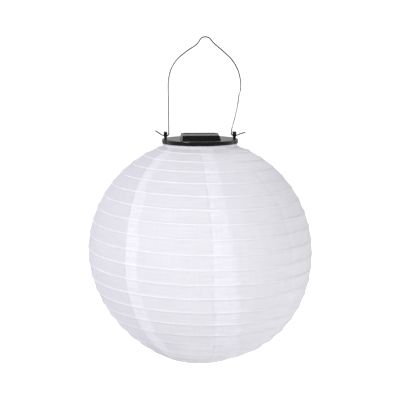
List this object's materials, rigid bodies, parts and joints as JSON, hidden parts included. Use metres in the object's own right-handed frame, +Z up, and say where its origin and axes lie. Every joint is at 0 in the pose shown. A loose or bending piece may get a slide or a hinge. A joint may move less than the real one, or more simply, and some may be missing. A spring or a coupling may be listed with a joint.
{
  "type": "solar lantern",
  "caption": "Round hanging lantern: a cloth shade on a spiral spring wire that folds flat like an accordion, a plastic solar cap and a wire bail.",
  "frame": {"origin": "centre of the shade's open mouth, at the lowest plane of the lantern", "axes": "+Z up along the lantern's axis, from the mouth to the hang point; +X along the bail's pivot axis; the lantern is seen from -Y"},
  "size_m": [0.3, 0.3, 0.4283],
  "materials": {
    "bail_steel": "polished",
    "cap_plastic": "gloss",
    "seal_rubber": "matte",
    "screw_steel": "satin",
    "pad_foam": "matte",
    "board_laminate": "satin",
    "solar_silicon": "gloss",
    "clear_resin": "gloss",
    "battery_case": "gloss",
    "contact_metal": "satin",
    "chip_plastic": "matte",
    "led_epoxy": "gloss",
    "lens_plastic": "satin",
    "lead_black": "satin",
    "lead_red": "satin",
    "knob_plastic": "matte",
    "collar_plastic": "satin",
    "rib_steel": "satin",
    "shade_cloth": "matte"
  },
  "bodies": {
    "bail": {"bail_wire": "bail_steel"},
    "cap": {"cap_lid": "cap_plastic", "cap_base": "cap_plastic", "seal_ring": "seal_rubber", "cap_screws": "screw_steel", "panel_pad": "pad_foam", "solar_board": "board_laminate", "solar_cells": "solar_silicon", "panel_resin": "clear_resin", "battery_cell": "battery_case", "plus_contact": "contact_metal", "minus_contact": "contact_metal", "battery_spring": "contact_metal", "circuit_board": "board_laminate", "board_screws": "screw_steel", "driver_chip": "chip_plastic", "inductor": "chip_plastic", "led": "led_epoxy", "led_lens": "lens_plastic", "switch_can": "contact_metal", "lead_minus": "lead_black", "lead_plus": "lead_red"},
    "switch": {"switch_slider": "knob_plastic"},
    "door": {"battery_door": "cap_plastic"},
    "shade": {"shade_collar": "collar_plastic", "neck_hoop": "rib_steel", "rib_coil": "rib_steel", "gore_1": "shade_cloth", "gore_2": "shade_cloth", "gore_3": "shade_cloth", "gore_4": "shade_cloth", "gore_5": "shade_cloth", "gore_6": "shade_cloth", "gore_7": "shade_cloth", "gore_8": "shade_cloth"},
    "mouth": {"mouth_hoop": "rib_steel", "mouth_hem": "shade_cloth"}
  },
  "joints": [
    {"name": "bail_swing", "type": "hinge", "parent": "bail", "child": "cap", "pos_m": [0, 0, 0.29852], "axis": [1, 0, 0], "range_deg": [-95, 95]},
    {"name": "shade_twist", "type": "hinge", "parent": "cap", "child": "shade", "pos_m": [0, 0, 0.28532], "axis": [0, 0, 1], "range_deg": [0, 25]},
    {"name": "shade_fold", "type": "slide", "parent": "shade", "child": "mouth", "axis": [0, 0, 1], "range_m": [0, 0.243], "deforming": ["gore_1", "gore_2", "gore_3", "gore_4", "gore_5", "gore_6", "gore_7", "gore_8", "rib_coil"]},
    {"name": "switch_slide", "type": "slide", "parent": "cap", "child": "switch", "axis": [1, 0, 0], "range_m": [-0.0011, 0.0011]},
    {"name": "door_hinge", "type": "hinge", "parent": "cap", "child": "door", "pos_m": [0, 0.01725, 0.25903], "axis": [1, 0, 0], "range_deg": [0, 90]}
  ]
}
